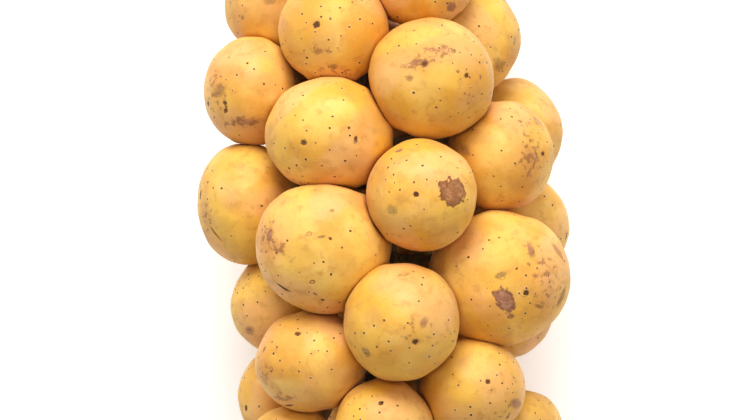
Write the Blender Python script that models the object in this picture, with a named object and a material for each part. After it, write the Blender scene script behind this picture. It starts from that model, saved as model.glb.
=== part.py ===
"""A bunch of duku (Lansium), cut from the tree and lying on its side on a level surface.

Its thin-skinned fruits crowd round one woody stalk, each on its own short stub. The stalk
runs along +Y to its cut end, +Z is up, and the fruits underneath rest on small flat spots at z = 0.
The design tables are in millimetres and the model is in metres.
"""

import math
from itertools import combinations

import bmesh
import bpy
from mathutils import Matrix, Vector

MM = 0.001
DOWN = Vector((0, 0, -1))

# ---- driving dimensions, mm ----------------------------------------------------------------
STALK_HEIGHT = 57.0  # the stalk's centre above the surface
STALK_SLOPE = -0.067  # how far the stalk drifts in X for each millimetre along Y
STALK_OFFSET = 2.9  # its X where Y is 0
STALK_CUT_Y = 121.0  # the cut end
STALK_TIP_Y = -93.0  # the thin end, inside the last ring of fruits
STALK_RADIUS = 4.8  # at the cut end
STALK_TIP_RADIUS = 2.8
STUB_RADIUS = 1.7  # the short side branch that each fruit sits on
STUB_SHARES = (1.3, 1.0, 1.1)  # its radius at the stalk, halfway and below the cup, over STUB_RADIUS
CUP_RADIUS = 4.2  # the rim of the cup where a stub meets its fruit
CUP_DEPTH = 2.6
CUP_SWELL = (0.3, 0.85)  # where the cup is nearly full, in CUP_DEPTH from the rim, and how full
TIP_MARGIN = 2.0  # between the stalk's thin end and the root of the nearest stub
BARE_END = 25.0  # length before the cut end that carries no stub
STALK_STEPS = 16  # lengths that the stalk is built of
STALK_SIDES = 10
STUB_SIDES = 6
GAP = 0.3  # between one piece and the next
FRUIT_DETAIL = 3  # subdivisions of the ball that a fruit is shaped from

# ---- a fruit's form, as shares of its own size ----------------------------------------------
TAPER = 0.26  # how much narrower it is at the stalk end
WIDEST = 0.2  # where it is widest: 0 is the middle and 1 the free end
NECK = 0.09  # how far its stalk end is drawn out
GIVE = 0.05  # the depth over which a pressed side rounds off into its free surface
PRESS = 2.0  # mm that two touching fruits may squeeze each other, in all
FAR_APART = 60.0  # mm between centres past which two fruits can't touch
WALL_REACH = 1.4  # a wall forms between fruits nearer than this many times their two radii
HANGS_DOWN = -10.0  # mm from the stalk below which an upper fruit's free end points down

# ---- the fruits on the upper side -----------------------------------------------------------
# Centre across (X), along (Y) and above the stalk (Z), then size in X, Y and Z, then the way the
# free end leans in X and Y, where 1 would lie flat.
UPPER = (
    (-31.5, 65.0, 1, 33.0, 33.0, 33, -0.80, 0.15),
    (-12.5, 55.5, 26, 35.0, 34.5, 37, -0.27, 0.08),
    (13.5, 73.0, 22, 35.5, 35.0, 35, 0.35, 0.25),
    (28.6, 53.8, 2, 34.6, 34.8, 34, 0.90, 0.05),
    (-38.0, 37.3, 14, 31.5, 34.8, 35, -0.70, 0.00),
    (-13.5, 23.4, 34, 41.0, 36.0, 38, -0.43, -0.12),
    (16.5, 40.0, 38, 40.0, 38.0, 39, 0.40, 0.25),
    (43.0, 25.0, -17, 35.0, 36.0, 35, 0.95, 0.10),
    (38.0, 17.0, 25, 34.5, 35.0, 37, 0.68, -0.05),
    (14.0, 4.7, 47, 34.2, 34.6, 38, -0.05, 0.00),
    (-39.5, 2.4, 12, 33.0, 40.0, 36, -0.75, -0.30),
    (-15.0, -10.8, 38, 43.5, 41.4, 38, -0.72, -0.12),
    (45.0, -5.0, -3, 33.5, 33.5, 34, 0.95, 0.00),
    (37.0, -20.5, 29, 46.0, 43.0, 40, 0.60, -0.20),
    (41.5, -31.5, -17, 32.5, 32.5, 33, 0.90, -0.20),
    (-30.0, -29.5, 7, 31.5, 31.5, 33, -0.90, 0.00),
    (7.7, -33.2, 48, 36.0, 37.2, 38, 0.22, -0.30),
    (-19.0, -46.5, 31, 36.0, 32.0, 36, -0.50, 0.20),
    (-27.5, -58.5, 0, 32.5, 32.5, 33, -0.90, -0.20),
    (29.0, -54.5, 30, 34.5, 32.5, 36, 0.50, -0.20),
    (2.5, -66.5, 38, 31.0, 33.0, 34, -0.05, -0.35),
    (-25.0, -75.0, 23, 31.0, 30.0, 32, -0.60, -0.10),
    (45.0, -70.0, 9, 29.0, 29.0, 31, 0.80, -0.40),
)

# ---- the fruits underneath and at the two ends -----------------------------------------------
# Centre across, along and above the stalk, and the width. Each points straight out from the stalk.
LOWER = (
    (27, 57, -25, 35),
    (3, 45, -38, 36),
    (-30, 46, -22, 34),
    (18, 20, -36, 36),
    (-13, 14.5, -38, 35),
    (-33, -2, -20, 34),
    (20, -18, -36, 35),
    (-10, -18, -39, 36),
    (-24, -40, -18, 28),
    (24, -55, -36, 35),
    (-8, -56, -37, 34),
    (30, -84, -24, 34),
    (-2, -88, -32, 33),
    (-22, -90, -4, 33),
    (5, -96, 26, 31),
    (35, -98, 3, 30),
    (8, -114, -6, 31),
    (-14, 92, 25, 34),
    (30, 84, -4, 33),
    (7, 80, -27, 34),
    (-24, 79, -28, 33),
    (26, -46, -4, 24),
    (-22, 22, -7, 22),
)
LOWER_LONGER = 1.08  # length of such a fruit over its width
NEAREST_ROOT = 0.94  # a fruit's root on the stalk, as a share of its own distance along Y
SETTLE_ROUNDS = 60  # times that these fruits push each other apart
HOMING = 0.02  # share of the way back to its place that each is drawn every time
REST_PRESS = 0.8  # mm that the surface flattens a fruit resting on it
REST_REACH = 3.5  # mm above the surface within which a fruit sinks to rest on it

SKIN_TONES = ((0.84, 0.47, 0.11), (0.87, 0.52, 0.15), (0.80, 0.43, 0.10), (0.86, 0.50, 0.19))
SKIN_ROUGHNESS = 0.42
BARK_ROUGHNESS = 0.8
SHARP_ANGLE = 50  # degrees past which an edge shows
STALK_TONE = (0.22, 0.15, 0.08)


class Fruit:
    """One fruit: its centre, the half-axes that shape it, and the way its free end points."""

    def __init__(self, name, centre, axes, apex, loose):
        self.name = name
        self.centre = centre
        self.home = centre.copy()
        self.axes = axes
        self.apex = apex
        self.loose = loose
        self.walls = []

    def point(self, ball):
        """The unpressed surface, from the centre, where the unit ball has its point `ball`."""
        tip = (self.axes.inverted() @ self.apex).normalized()
        height = ball.dot(tip)
        side = ball - tip * height
        narrow = 1 - TAPER * max(0.0, (WIDEST - height) / (1 + WIDEST)) ** 1.5
        drawn = height * (1 + NECK * max(0.0, -height) ** 5)
        return self.axes @ (side * narrow + tip * drawn)

    def reach(self, way):
        """How far the unpressed surface lies from the centre along the direction `way`."""
        ball = (self.axes.inverted() @ way).normalized()
        return self.point(ball).length

    def seat(self):
        """The middle of the stalk end, and the way that the surface faces there."""
        ball = -(self.axes.inverted() @ self.apex).normalized()
        out = (self.axes.inverted().transposed() @ ball).normalized()
        return self.centre + self.point(ball), out

    def pressed(self, ball):
        """The surface where `ball` lies, from the centre, held back by the neighbours."""
        place = self.point(ball)
        held = 1.0
        for normal, distance in self.walls:
            depth = place.dot(normal) / distance
            if depth > 1 - GIVE:
                held *= (1 - GIVE * math.exp((1 - GIVE - depth) / GIVE)) / depth
        return place * held


def stalk_at(y):
    """A point on the stalk's centre line."""
    return Vector((STALK_OFFSET + STALK_SLOPE * y, y, STALK_HEIGHT))


def stalk_radius(y):
    along = (y - STALK_TIP_Y) / (STALK_CUT_Y - STALK_TIP_Y)
    return STALK_TIP_RADIUS + (STALK_RADIUS - STALK_TIP_RADIUS) * along


def upper_fruits():
    fruits = []
    for row, (x, y, z, size_x, size_y, size_z, lean_x, lean_y) in enumerate(UPPER):
        centre = Vector((x, y, z + STALK_HEIGHT))
        axes = Matrix.Diagonal(Vector((size_x, size_y, size_z)) / 2)
        up = math.sqrt(max(0.0, 1 - lean_x**2 - lean_y**2))
        apex = Vector((lean_x, lean_y, up if z > HANGS_DOWN else -up))
        fruits.append(Fruit(f"fruit_{row + 1:02d}", centre, axes, apex.normalized(), False))
    return fruits


def lower_fruits(first):
    fruits = []
    for row, (x, y, z, width) in enumerate(LOWER):
        centre = Vector((x, y, z + STALK_HEIGHT))
        apex = (centre - stalk_at(y * NEAREST_ROOT)).normalized()
        frame = apex.to_track_quat("Z", "Y").to_matrix()
        axes = frame @ Matrix.Diagonal(Vector((width, width, width * LOWER_LONGER)) / 2)
        fruits.append(Fruit(f"fruit_{first + row:02d}", centre, axes, apex, True))
    return fruits


def settle(fruits):
    """Moves the loose fruits until neighbours squeeze each other no more than they give."""
    loose = [fruit for fruit in fruits if fruit.loose]
    for _ in range(SETTLE_ROUNDS):
        for fruit in loose:
            fruit.centre += (fruit.home - fruit.centre) * HOMING
        for one, other in combinations(fruits, 2):
            between = other.centre - one.centre
            if between.length > FAR_APART or not (one.loose or other.loose):
                continue
            way = between.normalized()
            room = between.length - one.reach(way) - other.reach(-way) + PRESS
            if room < 0:
                share = 0.5 if one.loose and other.loose else 1.0
                one.centre += way * room * share * one.loose
                other.centre -= way * room * share * other.loose
        for fruit in loose:
            low = fruit.centre.z - fruit.reach(DOWN) + REST_PRESS
            if low < REST_REACH:
                fruit.centre.z -= low


def press_together(fruits):
    """Gives each pair of near neighbours a flat wall between them, half the gap from each."""
    for one, other in combinations(fruits, 2):
        between = other.centre - one.centre
        way = between.normalized()
        mine, theirs = one.reach(way), other.reach(-way)
        if between.length > WALL_REACH * (mine + theirs):
            continue
        split = between.length * mine / (mine + theirs)
        one.walls.append((way, split - GAP / 2))
        other.walls.append((-way, between.length - split - GAP / 2))


def material(name, colour, roughness):
    made = bpy.data.materials.new(name)
    made.use_nodes = True
    shader = made.node_tree.nodes["Principled BSDF"]
    shader.inputs["Base Color"].default_value = (*colour, 1)
    shader.inputs["Roughness"].default_value = roughness
    shader.inputs["Metallic"].default_value = 0
    return made


def add_object(name, mesh, place, finish, parent):
    piece = bpy.data.objects.new(name, mesh)
    bpy.context.scene.collection.objects.link(piece)
    piece.location = place
    piece.parent = parent
    mesh.materials.append(finish)
    mesh.shade_smooth()
    mesh.set_sharp_from_angle(angle=math.radians(SHARP_ANGLE))
    return piece


def rest_on_surface(bm, centre):
    """Cuts a fruit off flat at the surface that the bunch lies on."""
    cut = bmesh.ops.bisect_plane(
        bm,
        geom=bm.verts[:] + bm.edges[:] + bm.faces[:],
        plane_co=(0, 0, -centre.z * MM),
        plane_no=(0, 0, -1),
        clear_outer=True,
        dist=1e-6,
    )
    rim = [item for item in cut["geom_cut"] if isinstance(item, bmesh.types.BMEdge)]
    if rim:
        bmesh.ops.holes_fill(bm, edges=rim, sides=0)


def build_fruit(fruit, finish, parent):
    bm = bmesh.new()
    bmesh.ops.create_icosphere(bm, subdivisions=FRUIT_DETAIL, radius=1)
    for vertex in bm.verts:
        vertex.co = fruit.pressed(vertex.co.normalized()) * MM
    rest_on_surface(bm, fruit.centre)
    mesh = bpy.data.meshes.new(fruit.name)
    bm.to_mesh(mesh)
    bm.free()
    return add_object(fruit.name, mesh, fruit.centre * MM, finish, parent)


def tube(points, radii, sides):
    """A closed tube through `points`, in millimetres, with a radius at each."""
    bm = bmesh.new()
    rings = []
    way = (points[1] - points[0]).normalized()
    frame = way.to_track_quat("Z", "X")
    for number, (point, radius) in enumerate(zip(points, radii)):
        before = points[max(number - 1, 0)]
        after = points[min(number + 1, len(points) - 1)]
        frame = way.rotation_difference(after - before) @ frame
        way = (after - before).normalized()
        ring = []
        for step in range(sides):
            turn = math.tau * step / sides
            spot = frame @ Vector((radius * math.cos(turn), radius * math.sin(turn), 0))
            ring.append(bm.verts.new((point + spot) * MM))
        rings.append(ring)
    for low, high in zip(rings, rings[1:]):
        for step in range(sides):
            beside = (step + 1) % sides
            bm.faces.new((low[step], low[beside], high[beside], high[step]))
    bm.faces.new(rings[0][::-1])
    bm.faces.new(rings[-1])
    mesh = bpy.data.meshes.new("tube")
    bm.to_mesh(mesh)
    bm.free()
    return mesh


def stub_mesh(fruit):
    """A side branch that widens into the cup under its fruit."""
    seat, out = fruit.seat()
    rim = seat + out * GAP
    neck = rim + out * CUP_DEPTH
    first, last = STALK_TIP_Y + TIP_MARGIN, STALK_CUT_Y - BARE_END
    root = stalk_at(min(max(neck.y * NEAREST_ROOT, first), last))
    swell_depth, swell = CUP_SWELL
    points = (root, (root + neck) / 2, neck, rim + out * CUP_DEPTH * swell_depth, rim)
    radii = [STUB_RADIUS * share for share in STUB_SHARES] + [CUP_RADIUS * swell, CUP_RADIUS]
    return tube(points, radii, STUB_SIDES)


def build_stalk(fruits, finish, parent):
    places = [
        STALK_TIP_Y + (STALK_CUT_Y - STALK_TIP_Y) * step / STALK_STEPS
        for step in range(STALK_STEPS + 1)
    ]
    mesh = tube([stalk_at(y) for y in places], [stalk_radius(y) for y in places], STALK_SIDES)
    stalk = add_object("stalk", mesh, (0, 0, 0), finish, parent)
    stubs = bpy.data.collections.new("stubs")
    for fruit in fruits:
        stub = bpy.data.objects.new("stub_" + fruit.name, stub_mesh(fruit))
        stub.hide_render = True
        stub.display_type = "WIRE"
        stub.parent = parent
        stubs.objects.link(stub)
    bpy.context.scene.collection.children.link(stubs)
    union = stalk.modifiers.new("stubs", "BOOLEAN")
    union.operation = "UNION"
    union.operand_type = "COLLECTION"
    union.collection = stubs
    return stalk


def stand_on_origin(bunch, pieces):
    """Shifts the bunch so that the middle of the bottom of its box is the origin."""
    corners = [piece.location + vertex.co for piece in pieces for vertex in piece.data.vertices]
    low = Vector(min(corner[axis] for corner in corners) for axis in range(3))
    high = Vector(max(corner[axis] for corner in corners) for axis in range(3))
    bunch.location = (-(low.x + high.x) / 2, -(low.y + high.y) / 2, -low.z)


def main():
    for item in list(bpy.data.objects):
        bpy.data.objects.remove(item)
    fruits = upper_fruits()
    fruits += lower_fruits(len(fruits) + 1)
    settle(fruits)
    press_together(fruits)
    bunch = bpy.data.objects.new("bunch", None)
    bpy.context.scene.collection.objects.link(bunch)
    skins = [
        material(f"duku_skin_{number}", tone, SKIN_ROUGHNESS)
        for number, tone in enumerate(SKIN_TONES, start=1)
    ]
    pieces = [
        build_fruit(fruit, skins[number % len(skins)], bunch)
        for number, fruit in enumerate(fruits)
    ]
    bark = material("stalk_bark", STALK_TONE, BARK_ROUGHNESS)
    pieces.append(build_stalk(fruits, bark, bunch))
    stand_on_origin(bunch, pieces)
    return fruits


if __name__ == "__main__":
    main()
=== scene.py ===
"""A bunch of duku lying on a pale floor, seen from straight above in soft studio light.

Every fruit is a smooth skin through its CAD solid, with gentle lumps, dents and the small flaws
of a real duku. The stalk is a barky branch whose stubs end in five-lobed cups under the fruits.
Sizes in the tables are in millimetres, colours are linear, and the scene is in metres.
"""

import math

import bmesh
import bpy
import numpy as np
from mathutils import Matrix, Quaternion, Vector


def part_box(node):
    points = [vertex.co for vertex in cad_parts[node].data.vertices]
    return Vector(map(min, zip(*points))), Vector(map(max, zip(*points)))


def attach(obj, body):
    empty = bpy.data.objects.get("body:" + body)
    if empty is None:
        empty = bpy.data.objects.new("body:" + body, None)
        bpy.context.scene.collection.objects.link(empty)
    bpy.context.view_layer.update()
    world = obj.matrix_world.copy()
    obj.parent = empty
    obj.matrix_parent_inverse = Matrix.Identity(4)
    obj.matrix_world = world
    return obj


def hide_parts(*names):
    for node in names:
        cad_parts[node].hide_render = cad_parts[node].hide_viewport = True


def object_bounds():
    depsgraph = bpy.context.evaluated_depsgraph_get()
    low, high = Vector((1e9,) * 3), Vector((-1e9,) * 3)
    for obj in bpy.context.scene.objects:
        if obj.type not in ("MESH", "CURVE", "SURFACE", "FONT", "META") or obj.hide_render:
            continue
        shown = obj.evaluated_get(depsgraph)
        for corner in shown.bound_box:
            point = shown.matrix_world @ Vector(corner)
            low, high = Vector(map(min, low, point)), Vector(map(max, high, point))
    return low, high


MM = 0.001
ROOT = "root"
FRUITS = 46

# ---- skin colours ---------------------------------------------------------------------------
GOLD = (0.83, 0.455, 0.070)
BRIGHT = (0.87, 0.53, 0.105)
PALE = (0.90, 0.58, 0.175)
PEACH = (0.87, 0.48, 0.20)
AMBER = (0.78, 0.385, 0.055)
TAN = (0.71, 0.385, 0.11)
ORANGE = (0.82, 0.31, 0.055)
OLIVE = (0.36, 0.21, 0.075)
PURPLE = (0.36, 0.17, 0.10)
GREY = (0.42, 0.27, 0.14)
BROWN = (0.36, 0.16, 0.065)
DARK = (0.075, 0.026, 0.014)
RUBBED_AND_SHADED = (0.44, 0.185, 0.030)  # where neighbours touch: rubbed skin, and painted contact shade with a warm bounce
DEEP_SHADE = (0.10, 0.045, 0.02)  # painted shade, deep between the fruits near the stalk

# The front fruits' ground colours. The others draw theirs at random from OTHER_GROUNDS.
GROUND = {
    1: TAN, 2: AMBER, 3: AMBER, 4: BRIGHT, 5: TAN, 6: GOLD, 7: AMBER, 8: PALE, 9: AMBER, 10: GOLD,
    11: BRIGHT, 12: BRIGHT, 13: PALE, 14: GOLD, 15: PEACH, 16: BRIGHT, 17: GOLD, 18: TAN, 19: GOLD,
    20: GOLD, 21: GOLD, 22: GOLD, 23: BRIGHT,
}
OTHER_GROUNDS = (GOLD, BRIGHT, AMBER, PALE, TAN)

# Broad soft zones of another tone: fruit, place across and along as shares of its half size, the
# zone's half size in the same shares, the tone, and how much of it shows.
ZONES = (
    (1, -0.3, 0.3, 0.6, 0.5, PEACH, 0.5),
    (2, 0.3, 0.5, 0.6, 0.4, PEACH, 0.4),
    (2, -0.3, -0.1, 0.5, 0.4, TAN, 0.5),
    (2, -0.28, 0.04, 0.10, 0.09, PURPLE, 0.5),
    (5, -0.3, 0.6, 0.7, 0.5, PEACH, 0.7),
    (5, 0.3, -0.4, 0.6, 0.5, ORANGE, 0.3),
    (6, -0.42, 0.1, 0.35, 0.45, TAN, 0.75),
    (6, 0.2, 0.45, 0.6, 0.4, BRIGHT, 0.6),
    (6, -0.36, -0.18, 0.11, 0.10, PURPLE, 0.5),
    (6, 0.43, -0.54, 0.34, 0.13, GREY, 0.7),
    (6, -0.87, -0.02, 0.12, 0.18, PURPLE, 0.6),
    (7, -0.05, 0.32, 0.4, 0.2, PURPLE, 0.35),
    (7, 0.0, 0.75, 0.7, 0.3, PEACH, 0.6),
    (7, 0.0, -0.6, 0.7, 0.4, GOLD, 0.7),
    (7, -0.29, 0.0, 0.2, 0.16, TAN, 0.7),
    (9, 0.02, 0.8, 0.6, 0.3, ORANGE, 0.5),
    (9, 0.6, -0.3, 0.35, 0.4, TAN, 0.6),
    (9, 0.0, 0.2, 0.4, 0.3, BRIGHT, 0.5),
    (9, -0.72, 0.12, 0.2, 0.16, BROWN, 0.8),
    (10, -0.4, 0.25, 0.4, 0.4, PEACH, 0.5),
    (10, 0.0, -0.75, 0.7, 0.3, AMBER, 0.5),
    (10, -0.10, 0.01, 0.10, 0.10, BROWN, 0.4),
    (12, -0.85, 0.25, 0.2, 0.35, ORANGE, 0.5),
    (12, 0.1, 0.5, 0.7, 0.4, PALE, 0.8),
    (12, -0.75, 0.1, 0.35, 0.6, PEACH, 0.8),
    (12, -0.62, 0.0, 0.16, 0.14, TAN, 0.6),
    (14, 0.16, 0.67, 0.24, 0.2, ORANGE, 0.6),
    (14, -0.3, 0.4, 0.5, 0.4, PALE, 0.7),
    (14, 0.35, 0.1, 0.3, 0.5, ORANGE, 0.28),
    (14, 0.75, 0.1, 0.3, 0.8, PEACH, 0.7),
    (16, -0.6, -0.5, 0.2, 0.15, PURPLE, 0.35),
    (17, 0.1, -0.25, 0.4, 0.25, TAN, 0.6),
    (17, 0.22, -0.28, 0.10, 0.09, PURPLE, 0.5),
    (17, 0.36, 0.03, 0.14, 0.12, PURPLE, 0.45),
    (18, -0.5, 0.55, 0.4, 0.35, PEACH, 0.6),
    (18, 0.1, -0.35, 0.5, 0.4, TAN, 0.6),
    (20, 0.8, -0.2, 0.18, 0.12, PURPLE, 0.45),
    (20, -0.1, 0.4, 0.6, 0.4, BRIGHT, 0.5),
)

# Sharper marks on the front fruits: fruit, place across and along as above, length and width in
# mm, turn in degrees, tone, softness of the edge, how much of a ring it is, and depth in mm.
MARKS = (
    (1, -0.05, 0.02, 4.0, 2.6, 20, OLIVE, 0.7, 0, 0.0),
    (1, -0.61, -0.31, 1.6, 1.0, 60, OLIVE, 0.4, 0, 0.05),
    (2, -0.29, 0.04, 2.3, 2.1, 30, DARK, 0.25, 0, 0.3),
    (2, 0.01, -0.69, 2.6, 1.8, 0, OLIVE, 0.6, 0, 0.0),
    (3, 0.54, -0.65, 5.0, 3.0, -30, PURPLE, 0.4, 0, 0.05),
    (4, 0.61, -0.49, 5.0, 3.4, -40, OLIVE, 0.7, 0, 0.0),
    (4, 0.88, -0.03, 2.4, 1.2, 80, GREY, 0.4, 0, 0.0),
    (5, -0.64, -0.04, 5.0, 3.4, 10, OLIVE, 0.8, 0, 0.0),
    (5, -0.51, -0.27, 1.5, 1.1, 95, DARK, 0.4, 0, 0.1),
    (5, -0.07, -0.61, 7.6, 1.8, 5, PURPLE, 0.9, 0, 0.05),
    (5, -0.50, -0.40, 1.8, 1.3, 60, DARK, 0.4, 0, 0.1),
    (5, -0.88, -0.26, 1.8, 1.2, 80, DARK, 0.3, 0, 0.1),
    (6, -0.37, -0.19, 2.0, 1.8, 0, DARK, 0.4, 0, 0.35),
    (6, 0.42, -0.12, 1.6, 1.1, 80, DARK, 0.35, 0, 0.2),
    (6, 0.41, -0.19, 1.1, 0.9, 0, OLIVE, 0.5, 0, 0.0),
    (6, 0.32, 0.07, 0.9, 0.8, 0, DARK, 0.3, 0, 0.1),
    (7, 0.19, 0.47, 2.4, 1.4, 25, PURPLE, 0.7, 0, 0.0),
    (7, 0.33, 0.41, 1.7, 1.5, 0, OLIVE, 0.2, 0, 0.1),
    (7, 0.54, 0.0, 1.7, 1.5, 40, DARK, 0.35, 0, 0.3),
    (7, 0.40, 0.06, 1.1, 1.0, 0, BROWN, 0.3, 0, 0.1),
    (7, 0.76, -0.02, 1.5, 0.8, 85, BROWN, 0.3, 0, 0.1),
    (7, -0.13, 0.18, 2.2, 1.9, 40, DARK, 0.7, 0, 0.15),
    (7, -0.26, 0.21, 4.2, 1.4, 10, PURPLE, 0.8, 0, 0.0),
    (7, -0.37, -0.05, 2.4, 1.8, 0, BROWN, 0.7, 0, 0.1),
    (9, 0.68, 0.64, 4.0, 2.0, -50, GREY, 0.6, 0, 0.0),
    (9, 0.79, 0.02, 1.6, 1.4, 0, DARK, 0.3, 0, 0.2),
    (9, -0.69, 0.08, 4.6, 2.4, -35, BROWN, 0.8, 0, 0.1),
    (10, -0.11, 0.01, 1.8, 1.7, 0, DARK, 0.2, 0, 0.3),
    (10, 0.54, 0.05, 9.0, 8.6, 20, BROWN, 0.05, 0, 0.08),
    (10, -0.40, 0.78, 2.6, 2.0, 20, PURPLE, 0.25, 0, 0.0),
    (10, -0.53, -0.27, 3.4, 2.6, 0, OLIVE, 0.8, 0, 0.1),
    (11, -0.62, -0.52, 5.8, 0.9, -58, BROWN, 0.3, 0, 0.15),
    (11, -0.92, 0.17, 3.0, 1.3, 80, DARK, 0.3, 0, 0.1),
    (12, -0.59, -0.61, 5.4, 1.0, -42, DARK, 0.35, 0, 0.3),
    (12, -0.15, -0.52, 1.9, 1.4, 0, BROWN, 0.3, 0.6, 0.15),
    (12, -0.11, -0.71, 1.6, 0.8, -50, BROWN, 0.3, 0, 0.05),
    (12, -0.19, 0.24, 1.8, 1.5, 20, BROWN, 0.6, 0.8, 0.05),
    (12, -0.01, 0.20, 2.4, 0.9, 10, OLIVE, 0.4, 0, 0.05),
    (12, 0.12, 0.17, 0.9, 0.9, 0, DARK, 0.3, 0, 0.1),
    (12, 0.0, -0.80, 1.2, 0.9, 0, DARK, 0.3, 0, 0.0),
    (12, 0.13, 0.58, 1.5, 1.0, 0, OLIVE, 0.6, 0, 0.0),
    (12, -0.78, 0.22, 3.0, 1.6, 60, PURPLE, 0.8, 0, 0.0),
    (13, 0.93, -0.18, 2.8, 1.1, 85, DARK, 0.3, 0, 0.0),
    (14, 0.35, -0.21, 1.9, 1.7, 0, DARK, 0.2, 0, 0.3),
    (14, 0.05, -0.32, 8.0, 5.4, -60, PURPLE, 0.12, 0, 0.06),
    (14, -0.10, -0.22, 1.2, 1.0, 0, BROWN, 0.3, 0, 0.0),
    (14, 0.15, -0.56, 1.4, 1.1, 0, BROWN, 0.3, 0, 0.05),
    (14, 0.42, 0.43, 5.2, 1.9, 92, PURPLE, 0.6, 0, 0.0),
    (14, 0.81, 0.40, 5.6, 2.0, -65, PURPLE, 0.7, 0, 0.0),
    (14, -0.01, 0.06, 3.6, 1.7, 20, OLIVE, 0.5, 0, 0.0),
    (14, 0.88, -0.28, 6.0, 2.4, 75, OLIVE, 0.6, 0, 0.0),
    (14, 0.54, -0.42, 3.4, 1.2, -15, BROWN, 0.6, 0, 0.0),
    (16, -0.59, -0.53, 4.0, 2.4, 30, PURPLE, 0.8, 0, 0.0),
    (17, 0.21, -0.29, 1.8, 1.6, 0, DARK, 0.3, 0, 0.3),
    (17, 0.36, 0.03, 3.2, 2.0, 60, PURPLE, 0.7, 0, 0.0),
    (17, 0.01, 0.79, 3.4, 1.6, 10, OLIVE, 0.5, 0.8, 0.0),
    (17, -0.62, -0.46, 3.2, 2.6, -40, OLIVE, 0.5, 0, 0.05),
    (18, -0.23, 0.59, 2.1, 1.6, 0, DARK, 0.4, 0, 0.2),
    (18, -0.84, 0.26, 2.0, 1.2, 60, BROWN, 0.4, 0, 0.0),
    (18, -0.38, -0.84, 4.4, 1.0, 10, DARK, 0.4, 0, 0.2),
    (19, -0.84, -0.22, 2.0, 1.5, 60, DARK, 0.3, 0, 0.1),
    (20, 0.26, 0.22, 1.7, 1.5, 0, DARK, 0.3, 0, 0.25),
    (20, 0.81, -0.24, 5.6, 2.6, -10, PURPLE, 0.6, 0, 0.0),
    (20, 0.65, -0.51, 1.5, 1.3, 0, BROWN, 0.3, 0, 0.1),
    (21, -0.05, 0.57, 1.6, 1.4, 0, DARK, 0.4, 0, 0.2),
)

# Broad mottling on every fruit: tone and wavelength in mm.
MOTTLING = ((PALE, 26.0), (AMBER, 20.0), (TAN, 13.0), (BRIGHT, 16.0), (PEACH, 24.0))
MOTTLE_SEED = 50
MOTTLE_GAIN = 1.1
MOTTLE_CUT = 0.18  # taken off, so that a tone shows in patches only
MOTTLE_MOST = 0.65

# Rough scabby areas: fruit, place and half size as in the zones, and how strong they are.
SCABS = (
    (2, 0.05, -0.78, 0.4, 0.12, 0.6),
    (2, -0.3, -0.4, 0.4, 0.15, 0.4),
    (5, -0.70, -0.08, 0.20, 0.36, 0.9),
    (5, -0.15, -0.61, 0.45, 0.10, 1.0),
    (7, -0.20, 0.20, 0.30, 0.12, 1.1),
    (7, 0.10, 0.40, 0.24, 0.12, 0.9),
    (7, 0.55, -0.35, 0.20, 0.20, 0.6),
    (9, 0.55, -0.05, 0.26, 0.42, 0.9),
    (9, 0.45, 0.55, 0.40, 0.12, 0.5),
    (11, -0.80, -0.20, 0.14, 0.40, 0.6),
    (12, -0.64, 0.02, 0.12, 0.10, 1.0),
    (12, -0.82, 0.20, 0.14, 0.34, 0.9),
    (14, 0.70, -0.15, 0.26, 0.45, 0.55),
    (14, 0.45, 0.35, 0.2, 0.3, 0.4),
    (17, 0.25, -0.10, 0.35, 0.25, 0.5),
    (18, -0.80, -0.20, 0.16, 0.30, 0.7),
    (18, -0.50, -0.70, 0.30, 0.14, 0.7),
    (20, 0.60, -0.40, 0.25, 0.2, 0.5),
)
FRONT_FRUITS = 23  # the ones that the tables describe
SCAR_DEPTH = 0.3  # mm: a mark this deep is the stylar scar at the free end

# The other fruits' marks: tones, how many, length in mm, width as a share of it, and softness.
APEX_SCAR = (2.0, 1.8, 0, DARK, 0.3, 0, 0.3)  # as in MARKS, without the fruit and the place
FLAW_TONES = (BROWN, OLIVE, DARK, PURPLE)
FLAW_COUNT = (3, 7)  # from 3 to 6
FLAW_LENGTH = (1.0, 2.4)
FLAW_SLIM = (0.4, 0.9)
FLAW_SOFT = (0.2, 0.6)
FLAW_DEPTH = 0.06
BLOTCH_TONES = (BROWN, OLIVE, PURPLE, GREY)
BLOTCH_COUNT = (0, 3)  # up to 2
BLOTCH_LENGTH = (3.5, 8.0)
BLOTCH_SLIM = 0.7
BLOTCH_SOFT = (0.1, 0.8)
BLOTCH_DEPTH = 0.04
OTHER_SCABS = 2  # scabby areas on each
OTHER_SCAB_SPREAD = (0.02, 0.10)
OTHER_SCAB_SHARE = (0.4, 0.9)

# ---- the skin's relief ----------------------------------------------------------------------
FRUIT_SEED = 1000  # plus the fruit's number
APEX_STRAY = 2  # mm: how much a free end turns from pointing straight away from the stalk
SKIN_DETAIL = 6  # subdivisions of the ball that a skin is shaped from
SKIN_GIVE = 1e-5  # how loosely the smooth skin follows its solid's corners
SHRINK = 0.06  # mm that the smooth skin lies inside its solid's corners
SINK = 0.1  # mm more, as room for the lumps
LUMPS = ((14.0, 0.22), (6.0, 0.06))  # wavelength and height, mm
KEEP_IN = 0.0002  # mm that every point stays inside the CAD box
LEAST_UP = 0.02  # keeps a place at a fruit's outline on its upper side
DEPTH_WEIGHT = 0.5  # how much the third direction counts in the size of a zone or a mark
MARK_FADE = 1.2  # how quickly a mark's hollow ends
UNMARKED = 9.0  # half sizes: the place of a point on a fruit with no mark
SEED_SPAN = 50.0  # each mark takes its own part of the noise that makes it ragged
NEARLY_UP = (0.0, 0.02, 1.0)  # just off an axis, so that a product with it never vanishes
NEARLY_ALONG = (0.0, 1.0, 0.02)
PRESSED = 0.45  # mm that a skin bulges into a narrow gap
PRESS_GAP = 1.2  # mm
FAR = 99.0  # mm
NEIGHBOUR_REACH = 3.5  # half sizes between the middles of fruits that may touch
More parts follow.
